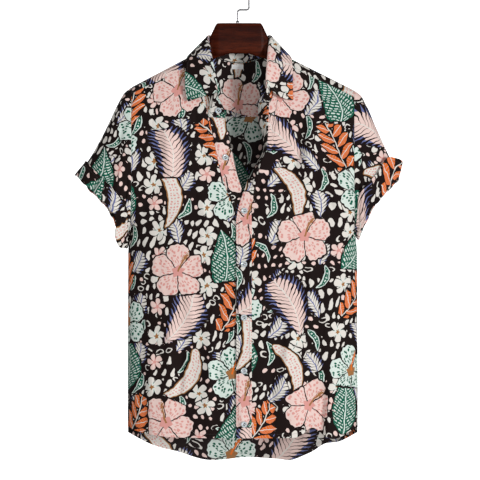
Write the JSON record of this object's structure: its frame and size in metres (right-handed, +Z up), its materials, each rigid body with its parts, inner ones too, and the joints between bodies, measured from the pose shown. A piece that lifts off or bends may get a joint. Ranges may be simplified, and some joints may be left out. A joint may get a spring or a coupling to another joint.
{
  "type": "hawaiian shirt on wooden hanger",
  "caption": "Short-sleeved hawaiian shirt with an open collar and turned-up sleeve ends, buttoned below the chest and hanging on a wooden hanger with a wire hook.",
  "frame": {"origin": "inside top of the hook, where the rail touches it", "axes": "+Z up, the shirt's front faces -Y, +X is the wearer's left (the viewer's right)"},
  "size_m": [0.5827, 0.1484, 0.8602],
  "materials": {
    "printed_cloth": "smooth printed plain weave with a soft sheen",
    "hanger_wood": "dark red-brown stain under gloss lacquer",
    "hook_steel": "drawn wire",
    "button_resin": "clear polished resin",
    "label_tape": "woven tape"
  },
  "bodies": {
    "root": {"front_right": "printed_cloth", "front_left": "printed_cloth", "back": "printed_cloth", "yoke": "printed_cloth", "inner_yoke": "printed_cloth", "sleeve_right": "printed_cloth", "sleeve_left": "printed_cloth", "cuff_right": "printed_cloth", "cuff_left": "printed_cloth", "collar_stand": "printed_cloth", "collar_leaf": "printed_cloth", "button_band": "printed_cloth", "placket": "printed_cloth", "button_1": "button_resin", "button_2": "button_resin", "button_3": "button_resin", "button_4": "button_resin", "button_5": "button_resin", "button_band_top": "button_resin", "button_stand": "button_resin", "label": "label_tape", "hanger": "hanger_wood", "hook": "hook_steel"}
  },
  "joints": []
}
